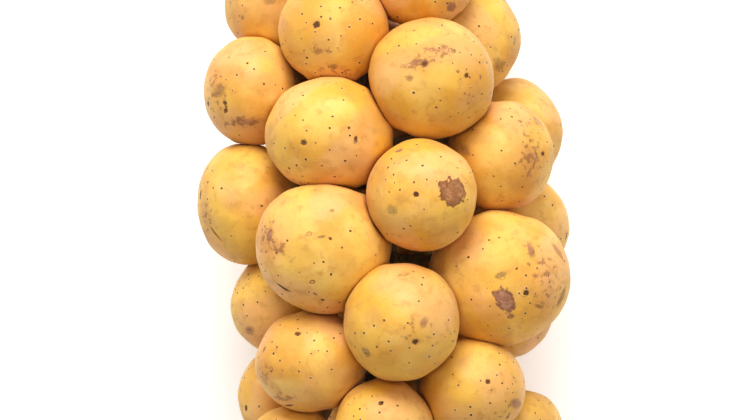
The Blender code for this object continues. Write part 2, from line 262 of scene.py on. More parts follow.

# ---- rubbed skin, painted contact shade and painted deep shade ------------------------------
RUB_AND_SHADE_GAP = 1.5  # mm between neighbours over which the rubbed tone and the painted contact shade fade
RUB_AND_SHADE_MOST = 0.68
DEEP_SHADE_BEGINS = 33.0  # mm from the stalk's centre line
DEEP_SHADE_FULL = 21.0
DEEP_SHADE_FROM_END = 35.0  # mm: the bunch's two ends get no painted shade
DEEP_SHADE_FACING = (-0.1, 0.4)  # cosine of the angle to the stalk: none below, all above
DEEP_SHADE_OFF_LINE = (16.0, 26.0)  # mm from the stalk to a fruit's middle: none below, all above
DEEP_SHADE_MOST = 0.96

# ---- pores ----------------------------------------------------------------------------------
PORE_TRIES = 380
PORE_SPACING = 2.2  # mm
PORE_RADII = (0.24, 0.42)  # mm
PORE_CHANCE = (0.08, 0.62)  # far from the free end, and how much more beside it
PORE_SPREAD = 0.30  # how widely they gather round the free end
PORE_DARK = (0.7, 1.0)
PORE_RAISED = (0.1, 1.0)

# ---- the stalk ------------------------------------------------------------------------------
STALK_SLOPE = -0.067  # sideways for each mm along Y
STALK_RADII = (4.4, 2.5)  # at the cut end and at the thin end
STALK_TIP = -89.0  # mm along Y: the thin end
STALK_SPLIT = 8.0  # mm along Y where its two visual lengths meet
BARE_END = 25.0  # mm beside the cut with no stub
TIP_MARGIN = 3.0  # mm from the thin end to the last stub
NEAREST_ROOT = 0.94  # where a stub starts, as a share of its cup's place along Y
NODE_SWELL = 0.10  # how much the stalk thickens where a stub grows
NODE_LENGTH = 2.6  # mm
STUB_RADIUS = 1.45
STUB_SWELL = 0.35  # how much thicker a stub is at its root
STUB_STEP = 1.5  # mm
TUBE_SIDES = 40
CUP_RADIUS = 3.5
CUP_DEPTH = 2.5
CUP_BEND = 2.5  # mm of straight neck below the cup
LOBES = 5
LOBE = 0.22  # how far the lobes stand out, as a share of the cup's radius
# The cup's outline from its neck up: mm below the seat, radius in mm and how much the lobes show.
CUP_OUTLINE = (
    (CUP_DEPTH, STUB_RADIUS * 1.15, 0.0),
    (1.5, CUP_RADIUS * 0.55, 0.3),
    (0.8, CUP_RADIUS * 0.8, 0.7),
    (0.3, CUP_RADIUS, 1.0),
    (0.02, CUP_RADIUS, 1.0),
)
VOXEL = 0.4  # mm
SMOOTHING = 0.5
SMOOTH_PASSES = 2

# ---- finding a cup's seat among the stalk's faces -------------------------------------------
SEAT_REACH = 5.0  # mm beyond a fruit's half size
SEAT_FACING = 0.95  # least cosine between the face and the way to the fruit
SEAT_LEVEL = 0.03  # mm that the faces of one seat may differ in height
SEAT_PARALLEL = 0.999
SEAT_WIDE = 3.0  # mm more reach for the rest of the seat

# ---- bark -----------------------------------------------------------------------------------
ALONG_GRAIN = (1.0, 0.16, 1.0)  # stretches a pattern along Y, as the bark's fibres run
BARK_WAVES = ((91, 2.2, 0.16), (92, 1.1, 0.07))  # seed, wavelength and height in mm, stretched
BARK_SWELLS = (93, 5.0, 0.15)  # the same, not stretched
BARK_SHARE = 0.8
BARK_SINK = 0.1  # mm
CUT_DEPTH = 0.6  # mm from the cut end that counts as its face
RING_RATE = 4.2  # radians of a growth ring for each mm
RING_HEIGHT = 0.10
PITH_RADIUS = 0.8
PITH_DEPTH = 0.4
CUT_SINK = 0.25

# ---- tones that the materials mix in --------------------------------------------------------
SKIN_LIFTS = (1.0, 1.02, 0.97, 0.99)  # brightness of the four skin materials
SKIN_PALE = (0.90, 0.57, 0.16)
SKIN_WARM = (0.74, 0.33, 0.045)
SKIN_BROWN = (0.60, 0.29, 0.075)
GRAIN_PALE = (0.95, 0.62, 0.20)
GRAIN_BROWN = (0.62, 0.29, 0.06)
RIM = (0.97, 0.68, 0.32)
PIT = (0.11, 0.022, 0.006)
SCAB = (0.60, 0.25, 0.085)
CRUST = (0.27, 0.095, 0.045)
FRECKLE = (0.45, 0.22, 0.07)
MARK_WORN = (1.45, 1.55, 1.7)  # these three are factors on a mark's own tone
MARK_GRAIN = (0.55, 0.45, 0.42)
MARK_EDGE = (0.50, 0.42, 0.36)
BARK_DARK = (0.070, 0.042, 0.022)
BARK_PALE = (0.24, 0.165, 0.085)
BARK_GREEN = (0.20, 0.19, 0.08)
BARK_FLECK = (0.46, 0.36, 0.22)
WOOD_DARK = (0.42, 0.28, 0.13)
WOOD_PALE = (0.62, 0.46, 0.25)
WOOD_GRAIN = (0.24, 0.14, 0.06)
PITH = (0.16, 0.09, 0.04)
FLOOR_TONES = ((0.90, 0.90, 0.90), (0.93, 0.93, 0.93))

# ---- stage, in metres and watts -------------------------------------------------------------
CAMERA_HEIGHT = 1.057
CAMERA_LENS = 151.4
CAMERA_CLIP = (0.05, 30.0)
AIM_FROM_TEN = (-0.014, -0.0045)  # the middle of the view, from the middle of fruit_10
FLOOR_RADIUS = 9.0
FLOOR_GLOW = 0.30
WORLD_LOW = 0.58  # brightness at the horizon, like the far floor's
WORLD_HIGH = 0.33  # and overhead
WORLD_FADE = (-0.02, 0.45)  # heights of the direction that the change runs between
EXPOSURE = -0.20
LAMP_TARGET = (0, 0, 0.06)
# Round lamps: name, place, size, power and colour.
LAMPS = (
    ("key", (-0.12, 1.05, 1.0), 0.9, 20.0, (1.0, 0.985, 0.96)),
    ("top", (0.35, 0.1, 1.9), 1.4, 9.0, (1.0, 1.0, 1.0)),
)


class Waves:
    """A smooth field of sine waves in space, between about -1 and 1."""

    COUNT = 22
    SPREAD = (0.7, 1.4)  # of the wavelength
    SCALE = math.sqrt(2 / COUNT) * 0.7  # of each wave

    def __init__(self, seed, length):
        rng = np.random.default_rng(seed)
        ways = rng.normal(size=(self.COUNT, 3))
        ways /= np.linalg.norm(ways, axis=1)[:, None]
        lengths = length * rng.uniform(*self.SPREAD, self.COUNT)
        self.ways = ways * (math.tau / lengths)[:, None]
        self.shift = rng.uniform(0, math.tau, self.COUNT)

    def at(self, points):
        return np.sin(points @ self.ways.T + self.shift).sum(1) * self.SCALE


def ramp(value, low, high):
    """0 up to `low`, 1 from `high` on, and straight between them."""
    return np.clip((value - low) / (high - low), 0, 1)


def blend(colour, tone, share):
    """Each point's colour with its share of a tone mixed in."""
    share = share[:, None]
    return colour * (1 - share) + np.array(tone) * share


def ball_mesh():
    """Unit directions and triangles of a finely divided ball."""
    bm = bmesh.new()
    bmesh.ops.create_icosphere(bm, subdivisions=SKIN_DETAIL, radius=1)
    points = np.array([v.co for v in bm.verts])
    faces = np.array([[v.index for v in f.verts] for f in bm.faces])
    bm.free()
    return points / np.linalg.norm(points, axis=1)[:, None], faces


def make_object(name, points, faces, finish):
    """A smooth-shaded mesh object with its points, in millimetres, in the row frame."""
    mesh = bpy.data.meshes.new(name)
    mesh.from_pydata((points * MM).tolist(), [], faces.tolist())
    mesh.materials.append(finish)
    mesh.shade_smooth()
    made = bpy.data.objects.new(name, mesh)
    bpy.context.scene.collection.objects.link(made)
    return made


def add_attribute(mesh, name, values):
    """Gives each point three numbers that a material can read."""
    layer = mesh.attributes.new(name, "FLOAT_VECTOR", "POINT")
    layer.data.foreach_set("vector", np.ascontiguousarray(values, np.float32).ravel())


def fruit_boxes():
    """Every fruit's centre and half size, in millimetres."""
    corners = np.array([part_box(f"fruit_{number:02d}") for number in range(1, FRUITS + 1)]) / MM
    return (corners[:, 0] + corners[:, 1]) / 2, (corners[:, 1] - corners[:, 0]) / 2


def node_points(node):
    """The different corners of a CAD node, in millimetres."""
    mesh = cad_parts[node].data
    points = np.empty(len(mesh.vertices) * 3)
    mesh.vertices.foreach_get("co", points)
    return np.unique(np.round(points.reshape(-1, 3) / MM, 3), axis=0)


class Skin:
    """The smooth surface through a CAD fruit's corners, as a distance along each direction."""

    def __init__(self, number):
        self.centre = CENTRES[number - 1]
        self.half = HALVES[number - 1]
        away = node_points(f"fruit_{number:02d}") - self.centre
        distance = np.linalg.norm(away, axis=1)
        self.knots = away / distance[:, None]
        count = len(self.knots)
        plain = np.hstack([np.ones((count, 1)), self.knots])
        system = np.zeros((count + 4, count + 4))
        system[:count, :count] = self.bend(self.knots) + np.eye(count) * SKIN_GIVE
        system[:count, count:] = plain
        system[count:, :count] = plain.T
        self.weights = np.linalg.solve(system, np.append(distance, np.zeros(4)))

    def bend(self, ways):
        return np.linalg.norm(ways[:, None] - self.knots[None], axis=2) ** 3

    def reach(self, ways):
        plain = np.hstack([np.ones((len(ways), 1)), ways])
        return np.hstack([self.bend(ways), plain]) @ self.weights

    def toward(self, across, along):
        """The direction of the place on the upper side at these shares of the half size."""
        up = math.sqrt(max(LEAST_UP, 1 - across**2 - along**2))
        way = np.array([across, along, up]) * self.half
        return way / np.linalg.norm(way)


def zone_shares(skin, ways, across, along, wide, high):
    """How strongly a soft zone shows in each direction, from 0 to 1."""
    flat = ways * skin.reach(ways)[:, None] / skin.half
    middle = skin.toward(across, along)
    middle = middle * skin.reach(middle[None])[0] / skin.half
    offset = flat - middle
    gap = (offset[:, 0] / wide) ** 2 + (offset[:, 1] / high) ** 2
    gap += (offset[:, 2] / max(wide, high)) ** 2 * DEPTH_WEIGHT
    return np.exp(-gap)


def neighbour_gap(number, points):
    """How far each point is from the nearest other fruit, roughly, in millimetres."""
    own = CENTRES[number - 1]
    gap = np.full(len(points), FAR)
    for other, (centre, half) in enumerate(zip(CENTRES, HALVES), start=1):
        near = np.linalg.norm(centre - own) < half.max() * NEIGHBOUR_REACH
        if near and other != number:
            away = np.linalg.norm((points - centre) / half, axis=1) - 1
            gap = np.minimum(gap, np.maximum(away, 0) * half.mean())
    return gap


def pore_ways(skin, free_end, rng):
    """The directions of a fruit's pores, kept apart and gathered round its free end."""
    ways = []
    apart = PORE_SPACING / skin.half.mean()
    for _ in range(PORE_TRIES):
        way = rng.normal(size=3)
        way /= np.linalg.norm(way)
        chance = PORE_CHANCE[0] + PORE_CHANCE[1] * math.exp((way @ free_end - 1) / PORE_SPREAD)
        alone = all(np.linalg.norm(way - other) > apart for other in ways)
        if rng.random() < chance and alone:
            ways.append(way)
    return np.array(ways)


def pore_layer(skin, points, free_end, rng):
    """Per point: place in the nearest pore, in pore radii, and how dark and raised that pore is."""
    ways = pore_ways(skin, free_end, rng)
    spots = skin.centre + ways * skin.reach(ways)[:, None]
    offset = points[:, None] - spots[None]
    gap = np.linalg.norm(offset, axis=2)
    nearest = gap.argmin(1)
    rows = np.arange(len(points))
    across = np.cross(NEARLY_UP, ways)
    across /= np.linalg.norm(across, axis=1)[:, None]
    along = np.cross(ways, across)
    radius = rng.uniform(*PORE_RADII, len(ways))[nearest]
    offset = offset[rows, nearest]
    u = (offset * across[nearest]).sum(1) / radius
    v = (offset * along[nearest]).sum(1) / radius
    place = np.stack([u, v, gap[rows, nearest] / radius], 1)
    dark = rng.uniform(*PORE_DARK, len(ways))[nearest]
    raised = rng.uniform(*PORE_RAISED, len(ways))[nearest]
    return place, dark, raised


def scab_shares(skin, ball, number, rng):
    """How scabby the skin is in each direction: from the table in front, at random elsewhere."""
    scab = np.zeros(len(ball))
    for zone in (z for z in SCABS if z[0] == number):
        scab += zone_shares(skin, ball, *zone[1:5]) * zone[5]
    for _ in range(OTHER_SCABS if number > FRONT_FRUITS else 0):
        way = rng.normal(size=3)
        facing = ball @ (way / np.linalg.norm(way))
        spread = rng.uniform(*OTHER_SCAB_SPREAD)
        scab += np.exp((facing - 1) / spread) * rng.uniform(*OTHER_SCAB_SHARE)
    return np.clip(scab, 0, 1)


def random_marks(rng, apex):
    """Marks for a fruit that the tables leave out: its stylar scar, flaws and broader blotches."""
    marks = [(apex, *APEX_SCAR)]
    for _ in range(rng.integers(*FLAW_COUNT)):
        way = rng.normal(size=3)
        size = rng.uniform(*FLAW_LENGTH)
        tone = FLAW_TONES[rng.integers(len(FLAW_TONES))]
        soft = rng.uniform(*FLAW_SOFT)
        slim = rng.uniform(*FLAW_SLIM)
        turn = rng.uniform(0, 180)
        marks.append((way, size, size * slim, turn, tone, soft, 0, FLAW_DEPTH))
    for _ in range(rng.integers(*BLOTCH_COUNT)):
        way = rng.normal(size=3)
        size = rng.uniform(*BLOTCH_LENGTH)
        tone = BLOTCH_TONES[rng.integers(len(BLOTCH_TONES))]
        soft = rng.uniform(*BLOTCH_SOFT)
        turn = rng.uniform(0, 180)
        marks.append((way, size, size * BLOTCH_SLIM, turn, tone, soft, 0, BLOTCH_DEPTH))
    return marks


def mark_layer(skin, points, marks, rng):
    """Per point: place in the nearest mark, the mark's tone, its kind, and the depth of all."""
    count = len(points)
    nearest = np.full(count, np.inf)
    place = np.full((count, 3), UNMARKED)
    tones = np.zeros((count, 3))
    kinds = np.zeros((count, 3))
    depth = np.zeros(count)
    for way, length, width, turn, tone, soft, ring, deep in marks:
        way = np.array(way) / np.linalg.norm(way)
        spot = skin.centre + way * skin.reach(way[None])[0]
        across = np.cross(NEARLY_ALONG, way)
        across /= np.linalg.norm(across)
        along = np.cross(way, across)
        cos, sin = math.cos(math.radians(turn)), math.sin(math.radians(turn))
        offset = points - spot
        sides = offset @ across, offset @ along
        u = (sides[0] * cos + sides[1] * sin) / (length / 2)
        v = (sides[1] * cos - sides[0] * sin) / (width / 2)
        gap = np.sqrt(u**2 + v**2 + ((offset @ way) / length) ** 2 * DEPTH_WEIGHT)
        seed = rng.uniform(0, SEED_SPAN)
        closer = gap < nearest
        nearest[closer] = gap[closer]
        place[closer] = np.stack([u, v, gap], 1)[closer]
        tones[closer] = tone
        kinds[closer] = (soft, ring, seed)
        depth += deep * np.exp(-(gap**2) * MARK_FADE)
    return place, tones, kinds, depth


def deep_shade_shares(points, ball, sideways):
    """How much painted shade each point gets: deep in the bunch, facing the stalk and away from both
    ends.
    """
    line = np.stack([STALK_LINE(y) for y in points[:, 1]])
    from_stalk = np.linalg.norm((points - line)[:, [0, 2]], axis=1)
    deep_shade = ramp(from_stalk, DEEP_SHADE_BEGINS, DEEP_SHADE_FULL)
    off_line = np.linalg.norm(sideways)
    inward = ball @ -np.array([sideways[0], 0.0, sideways[1]]) / off_line
    faces_in = ramp(inward, *DEEP_SHADE_FACING) * ramp(off_line, *DEEP_SHADE_OFF_LINE)
    from_end = np.minimum(points[:, 1] - CENTRES[:, 1].min(), CENTRES[:, 1].max() - points[:, 1])
    faces_in = faces_in * ramp(from_end, 0, DEEP_SHADE_FROM_END)
    return deep_shade**2 * (3 - 2 * deep_shade) * faces_in * DEEP_SHADE_MOST


def skin_colours(skin, ball, points, number, ground, gap):
    """Each point's colour before the material's own detail: zones, mottling, and rubbed places with
    painted contact shade.
    """
    colour = np.repeat(np.array(ground)[None], len(points), 0)
    for zone in (z for z in ZONES if z[0] == number):
        colour = blend(colour, zone[5], zone_shares(skin, ball, *zone[1:5]) * zone[6])
    for step, (tone, size) in enumerate(MOTTLING):
        waves = Waves(MOTTLE_SEED + step, size).at(points)
        colour = blend(colour, tone, np.clip(waves * MOTTLE_GAIN - MOTTLE_CUT, 0, MOTTLE_MOST))
    # rubbed skin and painted contact shade: darker and warmer towards each close neighbour
    return blend(colour, RUBBED_AND_SHADED, np.exp(-gap / RUB_AND_SHADE_GAP) * RUB_AND_SHADE_MOST)


def build_fruit(number, ball, faces, finish, box):
    """One fruit's skin, with the numbers that its material reads at each point."""
    node = f"fruit_{number:02d}"
    rng = np.random.default_rng(FRUIT_SEED + number)
    skin = Skin(number)
    reach = skin.reach(ball) - SHRINK
    points = skin.centre + ball * reach[:, None]

    sideways = skin.centre[[0, 2]] - STALK_LINE(skin.centre[1])[[0, 2]]
    apex = np.array([sideways[0], 0.0, sideways[1]]) + rng.normal(size=3) * APEX_STRAY
    if number <= FRONT_FRUITS:
        marks = [(skin.toward(m[1], m[2]), *m[3:]) for m in MARKS if m[0] == number]
        ground = GROUND[number]
    else:
        marks = random_marks(rng, apex)
        ground = OTHER_GROUNDS[rng.integers(len(OTHER_GROUNDS))]
    place, tones, kinds, depth = mark_layer(skin, points, marks, rng)

    # lumps and hollows, and a bulge towards each close neighbour
    relief = sum(Waves(i, size).at(points) * height for i, (size, height) in enumerate(LUMPS))
    gap = neighbour_gap(number, points)
    relief += PRESSED * np.exp(-(((gap - PRESS_GAP) / PRESS_GAP) ** 2))
    points = points + ball * (relief - depth - SINK)[:, None]

    # back inside the CAD box: the whole fruit moves in, but never up off the floor
    over = np.maximum(points.max(0) - box[1], 0) - np.maximum(box[0] - points.min(0), 0)
    over[2] = max(over[2], 0)
    points = np.clip(points - over, box[0] + KEEP_IN, box[1] - KEEP_IN)

    scars = [m[0] for m in marks if m[7] >= SCAR_DEPTH]
    free_end = np.array(scars[0] if scars else apex)
    pores, dark, raised = pore_layer(skin, points, free_end / np.linalg.norm(free_end), rng)
    scab = scab_shares(skin, ball, number, rng)
    colour = skin_colours(skin, ball, points, number, ground, gap)
    # painted shade: the skin turns near black deep in the bunch, towards the stalk, where shade falls
    colour = blend(colour, DEEP_SHADE, deep_shade_shares(points, ball, sideways))

    made = make_object(node + "_skin", points, faces, finish)
    add_attribute(made.data, "pore", pores)
    add_attribute(made.data, "rough", np.stack([dark, raised, scab], 1))
    add_attribute(made.data, "ground", colour)
    add_attribute(made.data, "spot", place)
    add_attribute(made.data, "spot_tone", tones)
    add_attribute(made.data, "spot_kind", kinds)
    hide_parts(node)
    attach(made, ROOT)


# ---- the stalk ------------------------------------------------------------------------------


def stalk_line():
    """The point on the stalk's centre line at a place along Y, as a function, and the cut end's Y."""
    points = node_points("stalk")
    end = points[points[:, 1] > points[:, 1].max() - 1.0].mean(0)

    def at(y):
        return np.array([end[0] + STALK_SLOPE * (y - end[1]), y, end[2]])

    return at, points[:, 1].max()


def cup_seats():
    """For each fruit, the middle of the cup that holds it and the way that the cup opens."""
    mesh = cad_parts["stalk"].data
    count = len(mesh.polygons)
    middle, normal, area = np.empty(count * 3), np.empty(count * 3), np.empty(count)
    mesh.polygons.foreach_get("center", middle)
    mesh.polygons.foreach_get("normal", normal)
    mesh.polygons.foreach_get("area", area)
    middle, normal = middle.reshape(-1, 3) / MM, normal.reshape(-1, 3)
    seats = []
    for centre, half in zip(CENTRES, HALVES):
        limit = half.max() + SEAT_REACH
        away = centre - middle
        far = np.linalg.norm(away, axis=1)
        facing = (away * normal).sum(1) / far
        score = np.where((facing > SEAT_FACING) & (far < limit), area * facing, 0)
        best = score.argmax()
        level = np.abs((middle - middle[best]) @ normal[best]) < SEAT_LEVEL
        same = level & (normal @ normal[best] > SEAT_PARALLEL) & (far < limit + SEAT_WIDE)
        seat = np.average(middle[same], axis=0, weights=area[same])
        seats.append((seat, normal[best]))
    return seats


def tube_mesh(path, radius_at, sides):
    """Points and triangles of a closed tube along `path`, whose radius depends on step and turn."""
    rings = []
    way = Vector(path[1] - path[0]).normalized()
    turn = way.to_track_quat("Z", "X")
    angles = np.arange(sides) * math.tau / sides
    for step, middle in enumerate(path):
        before, after = path[max(step - 1, 0)], path[min(step + 1, len(path) - 1)]
        new_way = Vector(after - before).normalized()
        turn = way.rotation_difference(new_way) @ turn
        way = new_way
        radius = radius_at(step, angles)
        flat = np.stack([np.cos(angles) * radius, np.sin(angles) * radius, 0 * angles], 1)
        rings.append(middle + flat @ np.array(turn.to_matrix()).T)
    points = np.vstack(rings + [path[:1], path[-1:]])
    faces = []
    for step in range(len(path) - 1):
        low, high = step * sides, (step + 1) * sides
        for side in range(sides):
            beside = (side + 1) % sides
            faces.append((low + side, low + beside, high + beside))
            faces.append((low + side, high + beside, high + side))
    first, last = len(points) - 2, len(points) - 1
    top = (len(path) - 1) * sides
    for side in range(sides):
        beside = (side + 1) % sides
        faces.append((first, beside, side))
        faces.append((last, top + side, top + beside))
    return points, np.array(faces)


def stub_tube(seat, out, root):
    """A side branch from the stalk that opens into a five-lobed cup under its fruit."""
    down = -out
    bend = seat + down * (CUP_DEPTH + CUP_BEND)
    steps = max(3, int(np.linalg.norm(root - bend) / STUB_STEP))
    body = [root + (bend - root) * share for share in np.linspace(0, 1, steps)]
    cup = [seat + down * below for below, _, _ in CUP_OUTLINE]

    def radius_at(step, angles):
        if step < steps:
            swell = 1 + STUB_SWELL - STUB_SWELL * min(1, step / 3)
            return np.full(len(angles), STUB_RADIUS * swell)
        _, radius, lobed = CUP_OUTLINE[step - steps]
        return radius * (1 + LOBE * lobed * np.cos(LOBES * angles))

    return tube_mesh(np.array(body + cup), radius_at, TUBE_SIDES)


def grow_together(made):
    """Turns overlapping closed tubes into one smooth surface, and returns its mesh."""
    remesh = made.modifiers.new("grow together", "REMESH")
    remesh.mode = "VOXEL"
    remesh.voxel_size = VOXEL * MM
    smooth = made.modifiers.new("smooth", "SMOOTH")
    smooth.factor = SMOOTHING
    smooth.iterations = SMOOTH_PASSES
    graph = bpy.context.evaluated_depsgraph_get()
    grown = bpy.data.meshes.new_from_object(made.evaluated_get(graph))
    made.modifiers.clear()
    made.data = grown
    grown.name = made.name
    grown.shade_smooth()
    return grown


def roughen_bark(mesh, box):
    """Raises fibres on the bark and rings on the cut, and notes both for the material."""
    count = len(mesh.vertices)
    where, normal = np.empty(count * 3), np.empty(count * 3)
    mesh.vertices.foreach_get("co", where)
    mesh.vertices.foreach_get("normal", normal)
    where, normal = where.reshape(-1, 3) / MM, normal.reshape(-1, 3)
    stretched = where * np.array(ALONG_GRAIN)
    bark = sum(Waves(seed, size).at(stretched) * height for seed, size, height in BARK_WAVES)
    seed, size, height = BARK_SWELLS
    bark += Waves(seed, size).at(where) * height
    off_line = where - STALK_LINE(0.0) - np.outer(where[:, 1], [STALK_SLOPE, 1, 0])
    away = np.hypot(*off_line[:, [0, 2]].T)
    on_end = where[:, 1] > STALK_CUT - CUT_DEPTH
    pith = np.exp(-((away / PITH_RADIUS) ** 2)) * PITH_DEPTH
    rings = np.cos(away * RING_RATE) * RING_HEIGHT - pith - CUT_SINK
    bark = np.where(on_end, np.minimum(rings, 0), bark * BARK_SHARE - BARK_SINK)
    where = np.clip(where + normal * bark[:, None], box[0] + KEEP_IN, box[1] - KEEP_IN)
    mesh.vertices.foreach_set("co", (where * MM).ravel())
    mesh.update()
    add_attribute(mesh, "wood", np.stack([away, np.where(on_end, 1.0, 0.0), 0 * away], 1))


def build_stalk(name, low, high, seats, finish, box):
    """One length of the stalk with the stubs that grow from it."""
    steps = np.linspace(low, high, int(high - low) + 1)
    share = (steps - STALK_TIP) / (STALK_CUT - STALK_TIP)
    radii = STALK_RADII[1] + (STALK_RADII[0] - STALK_RADII[1]) * share
    first, last = STALK_TIP + TIP_MARGIN, STALK_CUT - BARE_END
    roots = [min(max(seat[1] * NEAREST_ROOT, first), last) for seat, _ in seats]
    for root in roots:
        radii = radii * (1 + NODE_SWELL * np.exp(-(((steps - root) / NODE_LENGTH) ** 2)))

    def radius_at(step, angles):
        return np.full(len(angles), radii[step])

    parts = [tube_mesh(np.array([STALK_LINE(y) for y in steps]), radius_at, TUBE_SIDES)]
    for (seat, out), root in zip(seats, roots):
        if low <= root < high:
            parts.append(stub_tube(seat, out, STALK_LINE(root)))
    points, faces, start = [], [], 0
    for part_points, part_faces in parts:
        points.append(part_points)
        faces.append(part_faces + start)
        start += len(part_points)
    made = make_object(name, np.vstack(points), np.vstack(faces), finish)
    roughen_bark(grow_together(made), box)
    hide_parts("stalk")
    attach(made, ROOT)


# ---- materials ------------------------------------------------------------------------------


class Tree:
    """A short way to add nodes to a material and link them."""

    def __init__(self, name):
        self.material = bpy.data.materials.new(name)
        self.material.use_nodes = True
        self.nodes = self.material.node_tree.nodes
        self.links = self.material.node_tree.links
        self.shader = self.nodes["Principled BSDF"]

    def put(self, socket, value):
        """Links another node's output to a socket, or sets its value."""
        if isinstance(value, bpy.types.NodeSocket):
            self.links.new(value, socket)
        elif value is not None:
            if socket.type == "RGBA" and len(value) == 3:
                value = (*value, 1)
            socket.default_value = value

    def add(self, kind, inputs=(), **settings):
        node = self.nodes.new(kind)
        for key, value in settings.items():
            setattr(node, key, value)
        for key, value in dict(inputs).items():
            self.put(node.inputs[key], value)
        return node

    def math(self, operation, a, b=None, c=None):
        node = self.add("ShaderNodeMath", operation=operation)
        for index, value in enumerate((a, b, c)):
            self.put(node.inputs[index], value)
        return node.outputs[0]

    def smooth(self, value, low, high, to_low=0.0, to_high=1.0):
        """A soft step from `to_low` to `to_high` as the value goes from `low` to `high`."""
        node = self.add("ShaderNodeMapRange", interpolation_type="SMOOTHSTEP")
        for index, item in enumerate((value, low, high, to_low, to_high)):
            self.put(node.inputs[index], item)
        return node.outputs[0]

    def mix(self, share, a, b, kind="MIX"):
        """Mixes two colours; the node keeps them in its sockets 6 and 7."""
        node = self.add("ShaderNodeMix", data_type="RGBA", blend_type=kind)
        self.put(node.inputs[0], share)
        self.put(node.inputs[6], a)
        self.put(node.inputs[7], b)
        return node.outputs[2]

    def noise(self, where, scale, detail=2.0, rough=0.5):
        inputs = {"Vector": where, "Scale": scale, "Detail": detail, "Roughness": rough}
        return self.add("ShaderNodeTexNoise", inputs).outputs["Fac"]

    def attribute(self, name):
        node = self.add("ShaderNodeAttribute", attribute_name=name)
        return node.outputs["Vector"]

    def split(self, vector):
        return self.add("ShaderNodeSeparateXYZ", {"Vector": vector}).outputs


def skin_material(name, lift):
    """Duku skin: satin gold with pores in pale rims, freckles, bruises and dry brown patches."""
    t = Tree(name)
    where = t.add("ShaderNodeTexCoord").outputs["Object"]
    ground = t.attribute("ground")

    # mottling from broad to fine
    broad = t.noise(where, 90.0, 3.0, 0.55)
    middle = t.noise(where, 330.0, 3.0, 0.55)
    fine = t.noise(where, 1500.0, 2.0, 0.6)
    colour = t.mix(t.smooth(broad, 0.5, 0.72, 0, 0.42), ground, SKIN_PALE)
    colour = t.mix(t.smooth(broad, 0.5, 0.30, 0, 0.40), colour, SKIN_WARM)
    colour = t.mix(t.smooth(middle, 0.50, 0.72, 0, 0.50), colour, SKIN_BROWN)
    colour = t.mix(t.smooth(fine, 0.5, 0.75, 0, 0.16), colour, GRAIN_PALE)
    colour = t.mix(t.smooth(fine, 0.5, 0.25, 0, 0.14), colour, GRAIN_BROWN)

    # pores: a dark pit in a pale raised rim
    pu, pv, reach = t.split(t.attribute("pore"))
    dark, raised, scab = t.split(t.attribute("rough"))
    near = t.smooth(reach, 2.3, 1.9)
    plane = t.add("ShaderNodeCombineXYZ", {"X": pu, "Y": pv}).outputs[0]
    distance = t.add("ShaderNodeVectorMath", {0: plane}, operation="LENGTH").outputs["Value"]
    distance = t.math("ADD", distance, t.math("MULTIPLY", t.math("SUBTRACT", fine, 0.5), 1.2))
    pit = t.math("MULTIPLY", t.smooth(distance, 1.2, 0.7), near)
    rim = t.math("MULTIPLY", t.smooth(distance, 2.1, 1.1), near)
    rim = t.math("MULTIPLY", rim, raised)
    colour = t.mix(t.math("MULTIPLY", rim, 0.5), colour, RIM)
    colour = t.mix(t.math("MULTIPLY", pit, dark), colour, PIT)

    # scabby areas: ragged red-brown crusts on a browner skin
    crust = t.noise(where, 560.0, 3.0, 0.5)
    level = t.math("MULTIPLY_ADD", scab, 0.20, crust)
    crusts = t.math("MULTIPLY", t.smooth(level, 0.60, 0.78), t.smooth(scab, 0.06, 0.35))
    colour = t.mix(t.math("MULTIPLY", scab, 0.34), colour, SCAB)
    colour = t.mix(t.math("MULTIPLY", crusts, 0.62), colour, CRUST)

    # freckles: fainter, closer specks
    specks = t.add("ShaderNodeTexVoronoi", {"Vector": where, "Scale": 900.0, "Randomness": 1.0})
    some = t.smooth(t.split(specks.outputs["Color"])[0], 0.70, 0.75)
    speck = t.math("MULTIPLY", t.smooth(specks.outputs["Distance"], 0.16, 0.06), some)
    colour = t.mix(t.math("MULTIPLY", speck, 0.5), colour, FRECKLE)

    # the nearest mark: a ragged spot or ring, kept close to its own middle
    u, v, gate = t.split(t.attribute("spot"))
    soft, ring, seed = t.split(t.attribute("spot_kind"))
    flat = t.add("ShaderNodeCombineXYZ", {"X": u, "Y": v, "Z": seed}).outputs[0]
    plane = t.add("ShaderNodeCombineXYZ", {"X": u, "Y": v}).outputs[0]
    length = t.add("ShaderNodeVectorMath", {0: plane}, operation="LENGTH").outputs["Value"]
    ragged = t.noise(flat, 1.7, 5.0, 0.68)
    length = t.math("ADD", length, t.math("MULTIPLY", t.math("SUBTRACT", ragged, 0.5), 1.7))
    inner = t.math("SUBTRACT", 1.0, t.math("MULTIPLY", soft, 0.9))
    outer = t.math("ADD", 1.04, t.math("MULTIPLY", soft, 0.7))
    mask = t.smooth(length, outer, inner)
    hollow = t.math("MULTIPLY", t.smooth(length, 0.75, 0.35), ring)
    mask = t.math("MULTIPLY", mask, t.math("SUBTRACT", 1.0, t.math("MULTIPLY", hollow, 0.85)))
    mask = t.math("MULTIPLY", mask, t.smooth(gate, 1.85, 1.45))
    shown = t.math("MULTIPLY", mask, t.math("SUBTRACT", 1.0, t.math("MULTIPLY", soft, 0.35)))
    tone = t.attribute("spot_tone")
    worn = t.mix(t.smooth(middle, 0.40, 0.62, 0, 0.9), tone, MARK_WORN, "MULTIPLY")
    worn = t.mix(t.smooth(fine, 0.45, 0.70, 0, 0.6), worn, MARK_GRAIN, "MULTIPLY")
    worn = t.mix(t.smooth(length, 0.55, 1.0, 0, 0.7), worn, MARK_EDGE, "MULTIPLY")
    colour = t.mix(shown, colour, worn)
    colour = t.mix(1.0, colour, (lift, lift, lift), "MULTIPLY")
    t.put(t.shader.inputs["Base Color"], colour)

    rough = t.math("MULTIPLY_ADD", fine, 0.16, 0.40)
    rough = t.math("ADD", rough, t.math("MULTIPLY", mask, 0.22))
    rough = t.math("ADD", rough, t.math("MULTIPLY", middle, 0.10))
    t.put(t.shader.inputs["Roughness"], rough)

